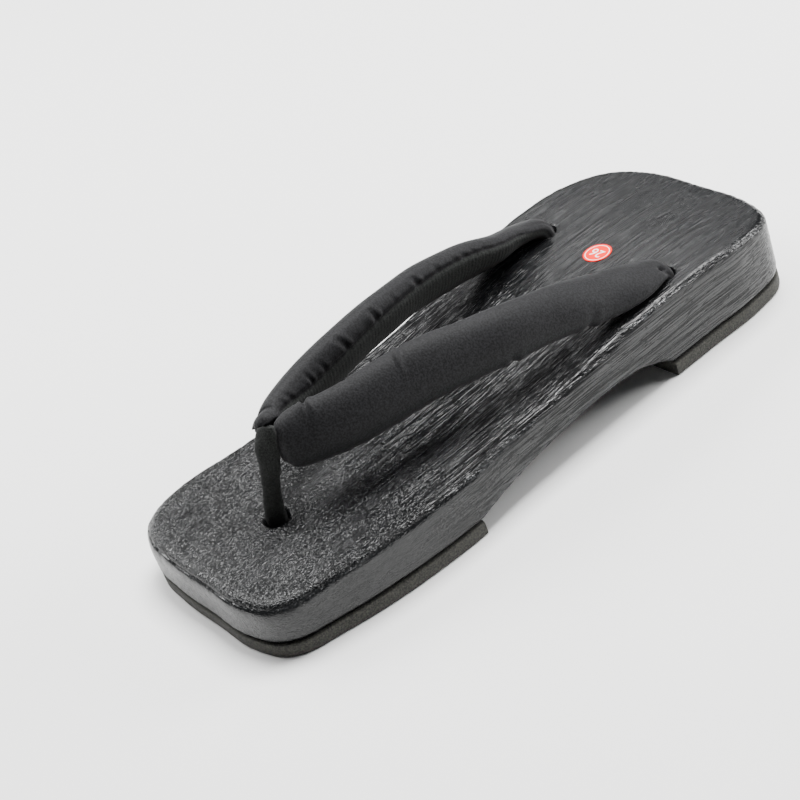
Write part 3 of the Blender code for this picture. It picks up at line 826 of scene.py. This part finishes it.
# From the lower end up, in mm: beside and behind the toe hole, above the wood,
# shares of the band's width and thickness, and its turn in degrees.
CORD_ROWS = [
    {"side": 0.0, "back": 0.0, "above": -11.0, "wide": 0.98, "thick": 1.00, "turn": 34},
    {"side": 0.0, "back": 0.0, "above": 0.0, "wide": 1.02, "thick": 1.00, "turn": 34},
    {"side": 0.0, "back": 0.7, "above": 5.0, "wide": 0.94, "thick": 1.00, "turn": 32},
    {"side": 0.0, "back": 3.1, "above": 13.5, "wide": 0.80, "thick": 0.96, "turn": 28},
    {"side": 0.9, "back": 4.9, "above": 21.0, "wide": 1.02, "thick": 0.95, "turn": 26},
    {"side": 0.9, "back": 6.8, "above": 28.0, "wide": 1.14, "thick": 0.95, "turn": 30},
    {"side": 1.0, "back": 7.9, "above": 32.0, "wide": 1.14, "thick": 0.95, "turn": 28},
    {"side": 0.9, "back": 8.8, "above": 35.4, "wide": 1.10, "thick": 0.85, "turn": 24},
    {"side": 1.2, "back": 9.6, "above": 37.2, "wide": 0.92, "thick": 0.70, "turn": 24},
]
read = read_rows(CORD_ROWS, np.linspace(0, len(CORD_ROWS) - 1, CORD_STEPS))
wood_at_toe = wood_top(TOE_HOLE.y)
centres = np.stack([
    TOE_HOLE.x + read["side"] * MM, TOE_HOLE.y + read["back"] * MM, wood_at_toe + read["above"] * MM], 1)
sizes = np.stack([CORD_WIDTH * read["wide"], CORD_THICKNESS * read["thick"], read["turn"]], 1)
_, _, centres, sizes = in_even_steps(centres, sizes, CORD_SPACING)
wide, thick, turn = (sizes[:, k][:, None] for k in range(3))
sideways = np.array([[1.0, 0.0, 0.0]])
forward = np.cross(unit(np.gradient(centres, axis=0)), sideways)
spin = np.radians(turn)
wide_axis = sideways * np.cos(spin) + forward * np.sin(spin)
thin_axis = forward * np.cos(spin) - sideways * np.sin(spin)
angles = (np.arange(CORD_SIDES) * 2 * math.pi / CORD_SIDES)[None]
cos, sin = (np.sign(wave) * np.abs(wave) ** CORD_ROUNDNESS for wave in (np.cos(angles), np.sin(angles)))
places = rings_round(centres, wide_axis, thin_axis, wide / 2 * cos, thick / 2 * sin)
outwards = unit(places - centres[:, None])
fuzz = noise_at(places.reshape(-1, 3), FUZZ_SIZE, seed=4.0).reshape(places.shape[:2])
kinks = noise_at(places.reshape(-1, 3), KINK_SIZE, seed=9.0).reshape(places.shape[:2])
places = places + outwards * (FUZZ_DEPTH * fuzz + KINK_DEPTH * kinks)[..., None]

# Its top is cut at a slant, under the nose of the inner branch.
near_top = np.clip((places[..., 2] - wood_at_toe - SLANT_ABOVE) / SLANT_REACH, 0, 1)
places[..., 2] += CORD_SLANT * near_top * np.minimum(places[..., 0] - centres[:, None, 0], SLANT_SIDE)
cord = closed_tube("velvet_toe_cord", places)
cord.data.materials.append(velvet_cloth)
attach(cord, "root")
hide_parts("toe_cord")


# Sticker
# A round paper label on the heel seat, printed red with a thin white ring
# and a plain size number, read from the heel.
STICKER_AT = Vector((2.1 * MM, 74.45 * MM))
STICKER_RADIUS = 6.0 * MM
STICKER_LIFT = 0.22 * MM
STICKER_SIDES = 96
PAPER_THICKNESS = 0.12 * MM
RING_INNER = 4.85 * MM
RING_OUTER = 5.15 * MM
PRINT_RED = "F01000"
PAPER_WHITE = "F6F1EC"
NUMBER_HEIGHT = 5.2 * MM
LETTER_SCALE = 1.25
INK_THICKNESS = 0.02 * MM
INK_LIFT = 0.03 * MM
INK_GRAIN = 0.4 * MM

# From the middle over the edge to the underside: share of the radius, and
# height as a share of the paper's thickness.
STICKER_PROFILE = [
    (0.0, 0.0), (0.5, 0.0), (0.8, 0.0), (0.94, 0.02), (0.985, 0.0), (1.0, -0.5), (0.99, -1.0), (0.0, -1.0)]

slope = math.atan2(
    wood_top(STICKER_AT.y + STICKER_RADIUS) - wood_top(STICKER_AT.y - STICKER_RADIUS), 2 * STICKER_RADIUS)
seat = Matrix.Translation((STICKER_AT.x, STICKER_AT.y, wood_top(STICKER_AT.y) + STICKER_LIFT))
seat = seat @ Matrix.Rotation(slope, 4, "X")
turns = [2 * math.pi * k / STICKER_SIDES for k in range(STICKER_SIDES)]
bm = bmesh.new()
rows = []
for share, rise in STICKER_PROFILE:
    reach = STICKER_RADIUS * share
    rows.append([
        bm.verts.new((reach * math.cos(turn), reach * math.sin(turn), PAPER_THICKNESS * rise))
        for turn in (turns if share else turns[:1])])
for a, b in zip(rows, rows[1:]):
    for k in range(STICKER_SIDES):
        n = (k + 1) % STICKER_SIDES
        corners = [a[k % len(a)], b[k % len(b)], b[n % len(b)], a[n % len(a)]]
        bm.faces.new(list(dict.fromkeys(corners)))
bmesh.ops.recalc_face_normals(bm, faces=bm.faces)
sticker = mesh_object("paper_sticker", bm)
sticker.data.transform(seat)
sticker.data.shade_smooth()

# Coated paper with a flat bright red print, and white in a thin ring where
# it is left bare.
print_red, tree, shader = new_material("red_print_on_coated_paper")
at = add_node(tree, "ShaderNodeTexCoord").outputs["Object"]
flat = add_node(tree, "ShaderNodeVectorMath", {0: at, 1: (1, 1, 0)}, operation="MULTIPLY").outputs[0]
from_middle = add_node(tree, "ShaderNodeVectorMath", {
    0: flat, 1: (STICKER_AT.x, STICKER_AT.y, 0)}, operation="DISTANCE").outputs["Value"]
inside = add_node(tree, "ShaderNodeMath", {
    0: from_middle, 1: RING_OUTER}, operation="LESS_THAN").outputs[0]
outside = add_node(tree, "ShaderNodeMath", {
    0: from_middle, 1: RING_INNER}, operation="GREATER_THAN").outputs[0]
ring = add_node(tree, "ShaderNodeMath", {0: inside, 1: outside}, operation="MULTIPLY").outputs[0]
tone = add_node(tree, "ShaderNodeMix", {
    "Factor": ring, 6: linear(PRINT_RED), 7: linear(PAPER_WHITE)}, data_type="RGBA")
set_inputs(tree, shader, {
    "Base Color": tone.outputs[2], "Roughness": 0.7, "Specular IOR Level": 0.1, "IOR": 1.5})
sticker.data.materials.append(print_red)
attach(sticker, "root")
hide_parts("sticker")

# White print: as pale as the bare paper and a little glossier than the red.
white_ink, tree, shader = new_material("white_print_on_coated_paper")
at = add_node(tree, "ShaderNodeTexCoord").outputs["Object"]
flecks = add_node(tree, "ShaderNodeTexNoise", {"Vector": at, "Scale": 1 / INK_GRAIN}).outputs["Fac"]
bump = add_node(tree, "ShaderNodeBump", {"Height": flecks, "Strength": 0.1, "Distance": INK_THICKNESS})
set_inputs(tree, shader, {
    "Base Color": linear(PAPER_WHITE), "Roughness": 0.4, "Normal": bump.outputs[0]})
lettering = bpy.data.curves.new("size_number", "FONT")
lettering.body = "26"
lettering.size = NUMBER_HEIGHT * LETTER_SCALE
lettering.align_x = "CENTER"
lettering.align_y = "CENTER"
lettering.extrude = INK_THICKNESS
drawn = add_object("drawn_number", lettering)
number = add_object("size_number", finished_mesh(drawn))
bpy.data.objects.remove(drawn)
number.data.materials.append(white_ink)
number.data.transform(seat @ Matrix.Translation((0, 0, INK_LIFT)) @ Matrix.Rotation(math.pi, 4, "Z"))
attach(number, "root")
